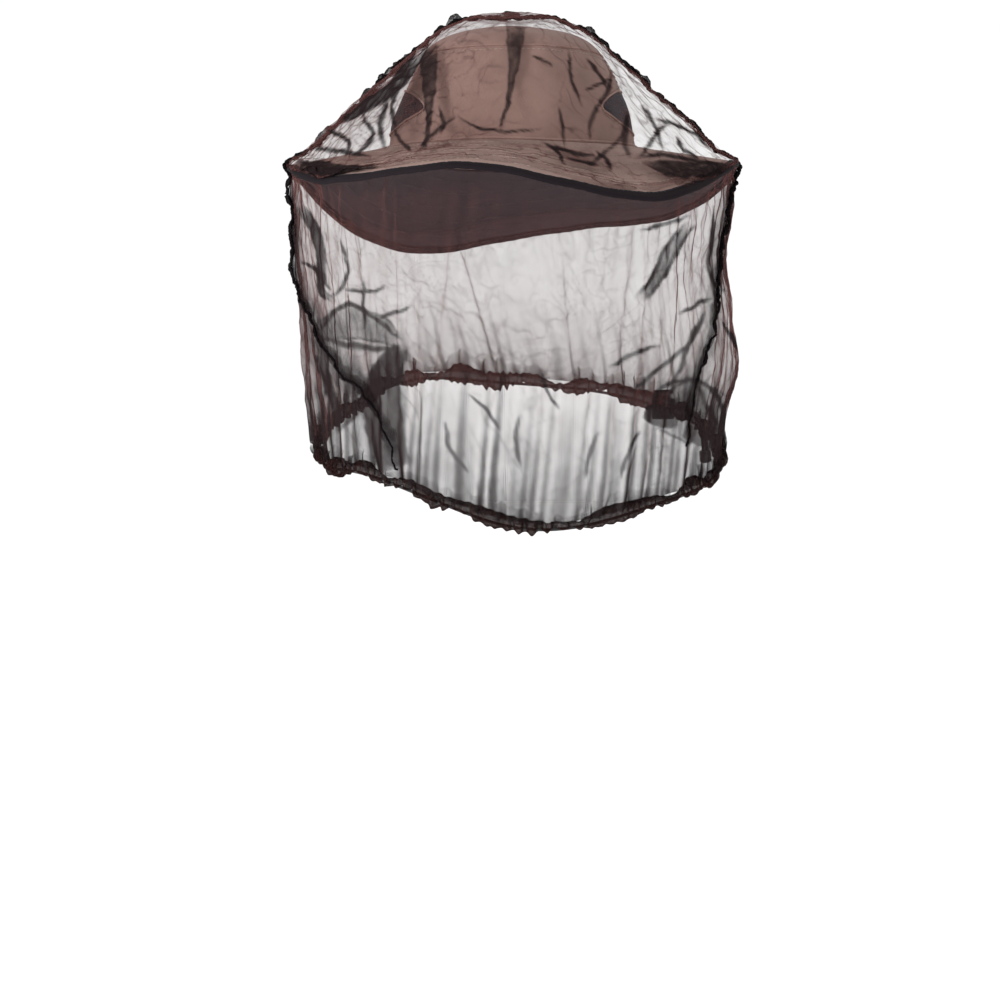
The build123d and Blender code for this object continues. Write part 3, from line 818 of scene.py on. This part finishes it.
THIN_FOLDS = (
    ([(36, 66), (38, 52), (41, 39), (46, 27)], 1.2),
    ([(65, 52), (62, 38), (54, 26), (50, 16), (50, 5)], 1.8), ([(30, 29), (32, 18), (34, 3)], 1.4),
    ([(24, 3), (34, 0), (44, -3), (54, -3)], 2.0), ([(34, -5), (47, -8), (57, -10)], 1.5),
    ([(73, 11), (64, 2), (50, -10)], 1.6), ([(-78, 14), (-72, 6), (-65, -1)], 1.5),
    ([(-47, 29), (-45, 18), (-46, 10)], 1.3), ([(-61, -1), (-50, 12), (-37, 21)], 1.2),
    ([(12, 62), (21, 58), (26, 54)], 1.2), ([(47, 60), (57, 49), (62, 39)], 1.4),
    ([(-37, 23), (-21, 14), (5, 12), (21, 14)], 1.0), ([(47, 39), (57, 43), (65, 46)], 1.3),
    ([(18, 6), (28, 0), (35, -10)], 1.2), ([(54, 0), (61, -6), (65, -14)], 1.2),
    ([(-121, 14), (-107, 6), (-109, -5)], 1.5), ([(-98, 24), (-91, 10), (-98, 0), (-106, -6)], 1.8),
    ([(-81, 34), (-86, 16), (-82, -1)], 2.6), ([(-133, 1), (-112, -1), (-91, -5)], 1.6),
    ([(-73, 40), (-78, 30), (-76, 13)], 1.6), ([(75, 27), (73, 8), (77, -6)], 3.2),
    ([(83, 30), (93, 16), (97, -1)], 1.6), ([(101, 18), (90, 6), (83, -5)], 1.5),
    ([(78, -5), (96, -3), (116, -6), (136, -10)], 2.0), ([(93, 21), (116, 12), (130, 0)], 1.4),
    ([(106, 10), (112, 0), (122, -6)], 1.3),
    ([(131, -36), (130, -58), (127, -73), (132, -88), (140, -93)], 1.6),
    ([(130, -96), (122, -99), (107, -107)], 1.5),
    ([(125, -105), (116, -124), (96, -142), (78, -156)], 1.8),
    ([(124, -107), (114, -127), (109, -142), (104, -152)], 2.2),
    ([(61, -142), (83, -131), (97, -127)], 1.8), ([(136, -112), (142, -120), (147, -130)], 1.4),
    ([(82, -53), (96, -49), (116, -43)], 1.4), ([(119, -48), (108, -65), (97, -84), (88, -98)], 1.3),
    ([(112, -47), (99, -65), (90, -83), (79, -96)], 1.2),
    ([(-112, -57), (-107, -77), (-111, -90), (-118, -96)], 1.6),
    ([(-97, -81), (-96, -98), (-96, -117)], 1.0), ([(-138, -73), (-128, -77), (-118, -92)], 1.5),
    ([(-110, -91), (-92, -92), (-82, -88)], 1.2), ([(-89, -110), (-73, -105), (-64, -100)], 1.2),
    ([(-106, -148), (-108, -162), (-109, -177)], 1.8), ([(-113, -183), (-98, -168), (-85, -153)], 2.0),
    ([(-126, -118), (-109, -100), (-89, -109), (-70, -125)], 1.6),
    ([(-124, -122), (-106, -127), (-83, -129), (-70, -127)], 3.0),
    ([(91, -172), (93, -159), (104, -151), (119, -150), (132, -159), (138, -174), (134, -190)], 1.6),
    ([(104, -152), (102, -162), (106, -174)], 1.3), ([(119, -151), (126, -166), (135, -181)], 1.3),
    ([(18, -144), (23, -157), (31, -169)], 1.0), ([(-28, -159), (-17, -169), (-8, -182)], 1.0),
    ([(5, -172), (2, -188), (6, -208)], 1.3), ([(-44, -176), (-40, -195), (-28, -211)], 1.3),
    ([(57, -182), (50, -198), (47, -214)], 1.3), ([(83, -182), (75, -198), (70, -214)], 1.3),
)


def seen(pts):
    """Where points appear in the plane of the side seams, from the standing point."""
    t = -SEEN_FROM[1] / (pts[..., 1] - SEEN_FROM[1])
    return SEEN_FROM[0] + (pts[..., 0] - SEEN_FROM[0]) * t, SEEN_FROM[2] + (pts[..., 2] - SEEN_FROM[2]) * t


def space_noise(pts, scale, seed):
    """Smooth noise at each point; scale is the size of its features in mm along x, y and z."""
    q = pts.reshape(-1, 3) / np.array(scale) + 17.3 * seed
    return np.array([noise.noise(Vector(v)) for v in q.tolist()]).reshape(pts.shape[:-1])


def near_line(x, z, path, widths, sharp):
    """Two shares from 0 to 1: how far inside a fold a point is, and how near to the fold's edges."""
    line = smooth_path([(a, 0, b) for a, b in path], 6)[:, (0, 2)]
    steps = np.linalg.norm(np.diff(line, axis=0), axis=1)
    along = np.concatenate([[0], np.cumsum(steps)]) / steps.sum()
    reach = 1.6 * max(widths) + 3
    box = (x > line[:, 0].min() - reach) & (x < line[:, 0].max() + reach)
    box &= (z > line[:, 1].min() - reach) & (z < line[:, 1].max() + reach)
    xs, zs = x[box], z[box]
    best, at = np.full(xs.shape, 1e9), np.zeros(xs.shape)
    for a, b, sa, sb in zip(line[:-1], line[1:], along[:-1], along[1:]):
        ab = b - a
        f = np.clip(((xs - a[0]) * ab[0] + (zs - a[1]) * ab[1]) / (ab @ ab + 1e-9), 0, 1)
        d = np.hypot(xs - a[0] - f * ab[0], zs - a[1] - f * ab[1])
        closer = d < best
        best, at = np.where(closer, d, best), np.where(closer, sa + f * (sb - sa), at)
    half = np.interp(at, np.linspace(0, 1, len(widths)), widths) / 2
    fade = np.clip(np.minimum(at, 1 - at) / 0.22, 0, 1) ** 0.7
    strength, edge = np.zeros(x.shape), np.zeros(x.shape)
    strength[box] = np.exp(-(best / (half + (0.4 if sharp < 3 else 0.2))) ** sharp) * fade
    edge[box] = np.exp(-((best - half) / 0.9) ** 2) * fade
    return strength, edge


def gather_map(grid):
    """How many times over the net lies on itself at each point: folds, creases, gathers and seams."""
    nv, nu, _ = grid.shape
    down = np.linspace(0, 1, nv)[:, None]
    turn = round_ring(nu)[None, :]
    upper = down < (ROWS_A - 1) * 2 / (nv - 1)
    many = np.ones((nv, nu))
    many *= np.where(upper, np.clip(0.58 - 0.0025 * grid[..., 0], 0.36, 0.75), 1.0)
    many *= 1 - 0.4 * np.exp(-((down - 0.40) / 0.05) ** 2)
    hemward = np.clip((down - 0.70) / 0.30, 0, 1)
    pleats = ring_noise(turn + 0.25 * down, 40, 150, 51, 0.1)
    bunched = 3.0 * np.where(grid[..., 1] < -10, 1.0, 0.55) * hemward ** 1.5
    many += bunched * (1 + 0.4 * pleats) + 0.4 * hemward * np.abs(pleats)
    # creases all over: thin lines that come and go, steeper down the hanging part
    lean = np.stack([0.45 * grid[..., 2], 0.2 * grid[..., 2], 0.25 * grid[..., 0]], -1)
    for scale, width, seed, share in (((13, 15, 26), 0.05, 1, 1.3), ((24, 26, 15), 0.035, 2, 1.0),
                                      ((9, 9, 60), 0.045, 3, 0.6)):
        slant = grid + lean * (1 if seed != 2 else -1)
        n = space_noise(slant, scale, seed)
        mask = np.clip((space_noise(grid, (38, 38, 38), seed + 5) + 0.05) / 0.3, 0, 1)
        amount = np.where(upper, share * (0.5 if seed == 3 else 1), share * (0.75 if seed == 3 else 0.5))
        many += amount * np.exp(-(n / width) ** 2) * mask
    x, z = seen(grid)
    x = x + 1.3 * space_noise(grid, (9, 9, 9), 21) + 0.6 * space_noise(grid, (3.5, 3.5, 3.5), 22)
    z = z + 1.3 * space_noise(grid, (9, 9, 9), 23)
    near = np.clip((14 - grid[..., 1]) / 20, 0, 1)
    for path, width in THIN_FOLDS:
        strength, _ = near_line(x, z, path, (width * 0.6, width, width, width * 0.6), 2)
        many += near * 4.6 * strength
    for path, widths, cover in WIDE_FOLDS:
        strength, edge = near_line(x, z, path, widths, 6)
        layers = math.log(1 - cover) / math.log(1 - 0.17)
        ripple = 1 + 0.5 * space_noise(grid, (4, 4, 16), 31)
        many += near * (1.35 * layers * strength * ripple + 2.2 * edge)
    for path, widths in SEAM_PATHS:
        strength, _ = near_line(x, z, path, tuple(w * 1.5 + 3 for w in widths), 2)
        many += near * 2.0 * strength
    return np.clip(many, 0.25, 7.0)


def settle(grid):
    """Small crumples and the slack pouch at one side, which the coarse cloth step can't carry."""
    g = grid.copy()
    x, z = g[..., 0], g[..., 2]
    pouch = 6.5 * np.exp(-((z + 136) / 28) ** 2) - 4.0 * np.exp(-((z + 68) / 20) ** 2)
    g[..., 0] = x + pouch * np.clip((x - 85) / 45, 0, 1)
    nv = g.shape[0]
    down = np.linspace(0, 1, nv)[:, None]
    out = g - np.array((0, -5.0, -60.0))
    out /= np.linalg.norm(out, axis=2)[..., None]
    amp = np.where(down < 0.44, 1.0, 0.7) * np.clip((down - 0.03) / 0.05, 0, 1)
    amp = amp * np.clip((0.97 - down) / 0.05, 0, 1)
    crumple = 0.5 - np.abs(space_noise(g, (12, 12, 17), 41)) * 1.6
    crumple = crumple + 0.5 * np.abs(space_noise(g, (6, 6, 9), 42))
    edge = np.clip(np.abs(down - 0.44) / 0.05, 0.2, 1)
    return g + out * (amp * edge * np.clip(crumple + 0.35, 0, 1.2) * 2.0)[..., None]


def paint_gather(obj, values):
    layer = obj.data.attributes.new("gather", "FLOAT", "POINT")
    layer.data.foreach_set("value", np.ascontiguousarray(values, dtype=np.float32).ravel())


def build_net(net):
    fine = settle(catmull_clark_grid(net))
    many = gather_map(fine)
    h = fine.shape[1] // 2
    made = []
    for name, cols, node in (("net_front_cloth", [*range(h, 2 * h), 0], "net_front_panel"),
                             ("net_back_cloth", [*range(0, h + 1)], "net_back_panel")):
        ob = grid_piece(name, fine[:, cols], False, [M_NET])
        paint_gather(ob, many[:, cols])
        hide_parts(node)
        made.append(ob)
    return made[0], made[1], fine


class NetSurface:
    """Finds the net's near surface along a line of sight."""

    def __init__(self, grid):
        nv, nu, _ = grid.shape
        self.tree = BVHTree.FromPolygons([tuple(v) for v in grid.reshape(-1, 3)], grid_faces(nv, nu, True))

    def depth_along(self, line):
        """Depth of the net's near surface along a line that is given as seen, without jumps."""
        depth = []
        for x, z in line:
            aim = Vector(np.array((x, 0.0, z)) - SEEN_FROM).normalized()
            hit, _, _, _ = self.tree.ray_cast(Vector(SEEN_FROM), aim)
            depth.append(hit.y if hit is not None and hit.y < 25 else 0.0)
        pad = np.pad(np.array(depth), 12, "edge")
        middle = np.array([np.median(pad[k:k + 25]) for k in range(len(depth))])
        pad = np.pad(middle, 8, "edge")
        return np.convolve(pad, np.hanning(17) / np.hanning(17).sum(), "valid")

    def near(self, x, y, z, up):
        """The net's surface nearest to a point that is seen at (x, z) and lies at depth y, moved outwards."""
        p = SEEN_FROM + (np.array((x, 0.0, z)) - SEEN_FROM) * (y - SEEN_FROM[1]) / -SEEN_FROM[1]
        hit, _, _, _ = self.tree.find_nearest(Vector(p))
        out = np.array(hit) - np.array((0.0, -5.0, -60.0))
        return np.array(hit) + out / np.linalg.norm(out) * up


def fold_ribbon(surface, path, widths, seed, proud=1.0, step=1.4, across=9, on_edge=False):
    """A folded-over strip of net: a grid that hugs the net, crumpled and raised in the middle."""
    line = smooth_path([(x, 0, z) for x, z in path], 10)[:, (0, 2)]
    d = length_along(line)
    n = max(6, int(d[-1] / step))
    s = np.linspace(0, d[-1], n)
    line = np.stack([np.interp(s, d, line[:, a]) for a in (0, 1)], 1)
    w = np.interp(s, np.linspace(0, d[-1], len(widths)), widths)
    tang = np.gradient(line, axis=0)
    tang /= np.linalg.norm(tang, axis=1)[:, None] + 1e-9
    side = np.stack([-tang[:, 1], tang[:, 0]], 1)
    depth = np.zeros(n) if on_edge else surface.depth_along(line)
    wander = 0.25 * noise1(s / 9.0, seed + 2) * np.minimum(w, 4)
    taper = np.clip(np.minimum(s, d[-1] - s) / 6.0, 0.25, 1)
    rows = []
    for k in range(across):
        f = k / (across - 1) * 2 - 1
        edge_seed = seed if f < 0 else seed + 7
        rag = 0.22 * noise1(s / 4.0, edge_seed) + 0.14 * noise1(s / 1.6, edge_seed + 1)
        q = line + side * (wander + f * w / 2 * (1 + rag) * taper)[:, None]
        lift = 0.25 + proud * (1 - f * f) * (0.6 + 0.45 * noise1(s / 3.0 + 2 * f, seed + 3)) * taper
        lift = lift + 0.4 * noise1(s / 1.8 + 3 * f, seed + 4) * (1 - f * f)
        rows.append([surface.near(x, y, z, max(up, 0.15)) for (x, z), y, up in zip(q, depth, lift)])
    g = np.array(rows)
    g[:, 1:-1] = g[:, 1:-1] * 0.7 + (g[:, 2:] + g[:, :-2]) * 0.15
    return g


def join_ribbons(name, grids, seed):
    """One piece from several ribbons, thinner at their edges and ends."""
    verts, faces, uvs, many = [], [], [], []
    for k, g in enumerate(grids):
        base = len(verts)
        verts += list(g.reshape(-1, 3))
        faces += [tuple(v + base for v in f) for f in grid_faces(g.shape[0], g.shape[1], False)]
        uvs.append(grid_uv(g, False))
        f = np.linspace(-1, 1, g.shape[0])[:, None]
        s = np.linspace(0, 1, g.shape[1])[None, :]
        mottle = 1 + 0.5 * space_noise(g, (2.2, 2.2, 4.5), seed + k)
        taper = np.clip(np.minimum(s, 1 - s) / 0.12, 0.3, 1)
        many.append(((0.35 + 0.75 * (1 - f ** 2)) * taper * mottle).ravel())
    ob = make_piece(name, verts, faces, np.concatenate(uvs), [M_FOLD])
    paint_gather(ob, np.concatenate(many))
    return ob


KNOTS = (
    ([(-90, 34), (-82, 46), (-73, 56), (-62, 62)], (4, 10, 13, 5)),
    ([(-97, 24), (-90, 32), (-82, 38)], (3, 8, 4)), ([(-76, 44), (-68, 50), (-63, 60)], (4, 7, 3)),
    ([(-12, 86), (-4, 88.5), (6, 86)], (3, 5, 3)), ([(40, 79), (48, 74), (56, 67)], (3, 6, 3)),
    ([(-46, 72), (-38, 78), (-28, 82)], (2.5, 5, 2.5)), ([(72, 50), (79, 42), (84, 34)], (2.5, 5, 2.5)),
    ([(-128, 3), (-120, 9), (-110, 15)], (2.5, 5, 2.5)),
)


def build_seam(surface, grid):
    """The seam: a dark folded band with a corded edge, up one side, over the top and down the other."""
    sides = [fold_ribbon(surface, path, tuple(1.2 * w for w in widths), 600 + 9 * k, 2.0)
             for k, (path, widths) in enumerate(SEAM_PATHS)]
    knots = [fold_ribbon(surface, path, widths, 700 + 9 * k, 5.5, 1.0, on_edge=True)
             for k, (path, widths) in enumerate(KNOTS)]
    band = join_ribbons("net_seam_band", sides + knots, 60)
    h = grid.shape[1] // 2
    top = (ROWS_A - 1) * 2
    over = np.concatenate([grid[top::-1, h], grid[1:top + 1, 0]])
    mids = [g[g.shape[0] // 2] for g in sides]
    line = np.concatenate([mids[1][::-1], over, mids[0]])
    d = length_along(line)
    n = int(d[-1] / 0.9)
    s = np.linspace(0, d[-1], n)
    line = np.stack([np.interp(s, d, line[:, a]) for a in range(3)], 1)
    line[3:-3] = (line[:-6] + line[1:-5] + line[2:-4] + line[3:-3] + line[4:-2] + line[5:-1] + line[6:]) / 7
    out = line - np.array((0, -5, -60.0))
    out /= np.linalg.norm(out, axis=1)[:, None]
    line = line + out * (0.9 + 0.75 * noise1(s / 7.0, 41) + 0.45 * noise1(s / 2.4, 42))[:, None]
    line[:, 1] += 0.9 * noise1(s / 8.0, 43)
    radius = 1.5 + 0.42 * noise1(s / 3.2, 44) + 0.3 * noise1(s / 1.2, 45)
    radius *= np.interp(line[:, 2], (-200, -130, -50, -5), (0.35, 0.6, 0.9, 1.0))
    v, f = tube_mesh(line, np.clip(radius, 0.6, 2.6), 8)
    rope = make_piece("net_seam", v, f, None, [M_NET_SEAM])
    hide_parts("net_seam_tape")
    return [rope, band]


NET_FRONT, NET_BACK, NET_GRID = build_net(NET)
SURFACE = NetSurface(NET_GRID)
SEAMS = build_seam(SURFACE, NET_GRID)


# ------------------------------------------------------------------------------- hem and drawcord
def build_hem():
    """The gathered hem: a dark ruffled casing, bunched up in places."""
    for name, lo, hi, node in (("hem_front", math.pi, TAU, "hem_casing_front"),
                               ("hem_back", 0.0, math.pi, "hem_casing_back")):
        phi = np.linspace(lo, hi, 900)
        ruff = ring_noise(phi, 70, 125, 31, 0.1)
        slow = ring_noise(phi, 9, 26, 32, 0.3)
        fine = ring_noise(phi, 150, 230, 33, 0.1)
        bunch = np.clip(0.85 + 0.3 * ring_noise(phi, 7, 30, 34, 0.3), 0.5, 1.7)
        # cross-section of the casing: (outwards, up, how much it ruffles)
        section = [(-2.0, 3.2, 0.5), (0.2, 4.2, 0.9), (2.3, 2.8, 1.0), (3.0, -1.2, 1.2), (2.5, -3.8, 1.3),
                   (1.2, -5.8, 1.5), (-0.6, -6.2, 1.5), (-2.0, -5.0, 1.2), (-2.8, -3.0, 0.9),
                   (-2.8, -0.6, 0.6), (-2.0, 3.2, 0.5)]
        rows = []
        for out, up, k in section:
            shift = 0.8 * k * ruff + 0.35 * fine * k
            rise = (up + 2) * bunch - 2 + 1.2 * slow + 0.3 * k * fine
            rows.append(hem_point(phi, out * bunch + shift, rise))
        piece = grid_piece(name, np.array(rows), False, [M_HEM])
        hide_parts(node)
        # gathers standing just above the casing
        rows = []
        for k, (out, up) in enumerate(((1.6, 0.0), (2.4, 3.5), (2.6, 7.5), (1.8, 11.5))):
            wave = (1.0 + 0.2 * k) * ring_noise(phi, 60, 120, 36, 0.1) + 0.4 * ruff
            rows.append(hem_point(phi, out + wave, up * bunch + 1.2 * slow))
        ruffle = grid_piece(name + "_gathers", np.array(rows), False, [M_FOLD])
        patchy = 0.55 + 0.3 * ring_noise(phi, 20, 90, 37, 0.2)
        weight = np.array((1.0, 0.75, 0.5, 0.25))[:, None] * patchy[None, :]
        paint_gather(ruffle, np.clip(weight, 0.02, 1))


def build_lock_finish():
    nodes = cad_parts
    phi = round_ring(720)
    v, f = tube_mesh(hem_point(phi, 0.0, -3.5), 1.0, 8, True)
    loop = make_piece("drawcord_in_hem", v, f, None, [M_CORD])
    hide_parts("drawcord_loop")
    for node, m in (("cord_lock_barrel", M_LOCK), ("cord_lock_plunger", M_LOCK),
                    ("cord_lock_spring", M_SPRING), ("drawcord_knot", M_CORD)):
        ob = nodes[node]
        ob.data.materials.clear()
        ob.data.materials.append(m)


CORD_D = 2.2


def build_cords():
    made = []
    for name, points in CORD_ROUTES.items():
        curve = bpy.data.curves.new(name, "CURVE")
        curve.dimensions = "3D"
        curve.bevel_depth = CORD_D / 2 * MM
        curve.bevel_resolution = 4
        curve.use_fill_caps = True
        spline = curve.splines.new("NURBS")
        spline.points.add(len(points) - 1)
        for p, co in zip(spline.points, points):
            p.co = (*(np.array(co) * MM), 1.0)
        spline.order_u = 3
        spline.use_endpoint_u = True
        spline.resolution_u = 24
        curve.materials.append(M_CORD)
        obj = bpy.data.objects.new(name, curve)
        scene.collection.objects.link(obj)
        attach(obj, "hat_and_veil")
        made.append(obj)
    return made


# ------------------------------------------------------------------------------ camera and light
def area_light(name, where, aim, size, power, colour=(1, 1, 1)):
    data = bpy.data.lights.new(name, "AREA")
    data.shape, data.size, data.energy, data.color = "SQUARE", size, power, colour
    obj = bpy.data.objects.new(name, data)
    scene.collection.objects.link(obj)
    obj.location = where
    d = np.array(aim) - np.array(where)
    obj.rotation_euler = Vector(d).to_track_quat("-Z", "Y").to_euler()
    return obj


def build_stage():
    cam = bpy.data.cameras.new("Camera")
    cam.sensor_width, cam.lens = 36.0, 144.0
    cam.clip_end = 4000
    ob = bpy.data.objects.new("Camera", cam)
    scene.collection.objects.link(ob)
    ob.location = (-0.008, -2.6, -0.2275)
    ob.rotation_euler = (math.pi / 2, 0, 0)
    scene.camera = ob
    world = bpy.data.worlds.new("World")
    scene.world = world
    world.use_nodes = True
    bg = world.node_tree.nodes["Background"]
    bg.inputs[0].default_value = (1.0, 1.0, 1.0, 1)
    ray = world.node_tree.nodes.new("ShaderNodeLightPath")
    level = world.node_tree.nodes.new("ShaderNodeMapRange")   # a white backdrop, and a softer light from it
    level.inputs["To Min"].default_value, level.inputs["To Max"].default_value = 0.56, 1.02
    world.node_tree.links.new(ray.outputs["Is Camera Ray"], level.inputs["Value"])
    world.node_tree.links.new(level.outputs[0], bg.inputs[1])
    bpy.ops.mesh.primitive_plane_add(size=3000, location=(0, 0, -0.9))
    floor = bpy.context.object
    floor.name = "floor"
    t = Tree("floor_pale")
    p = t.node("ShaderNodeBsdfPrincipled", None, Roughness=0.9)
    p.inputs["Base Color"].default_value = rgb(0.92, 0.92, 0.92)
    p.inputs["Emission Color"].default_value = rgb(1, 1, 1)
    p.inputs["Emission Strength"].default_value = 0.56
    t.nt.links.new(p.outputs[0], t.out.inputs[0])
    floor.data.materials.append(t.mat)
    area_light("key", (-2.5, -1.9, 1.3), (0, 0, -0.05), 1.2, 72)
    area_light("fill", (1.9, -2.0, 0.5), (0, 0, -0.05), 1.8, 3)
    area_light("back", (0.6, 2.2, 1.6), (0, 0, -0.05), 1.8, 16)


scene.cycles.transparent_max_bounces = 40
build_hem()
build_lock_finish()
CORD_ROUTES = {
    "drawcord_inner": [(91.5, 64.8, -164.5), (121.6, 104.7, -164.5), (129.7, 122.0, -180.6),
                       (130.5, 126.3, -193.9)],
    "drawcord_outer": [(93.9, 63.0, -164.5), (124.0, 102.9, -164.5), (132.1, 120.2, -180.6),
                       (132.9, 124.5, -193.9)],
}
CORDS = build_cords()
for piece, node in zip(CORDS, ("drawcord_tail_inner", "drawcord_tail_outer")):
    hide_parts(node)


build_stage()
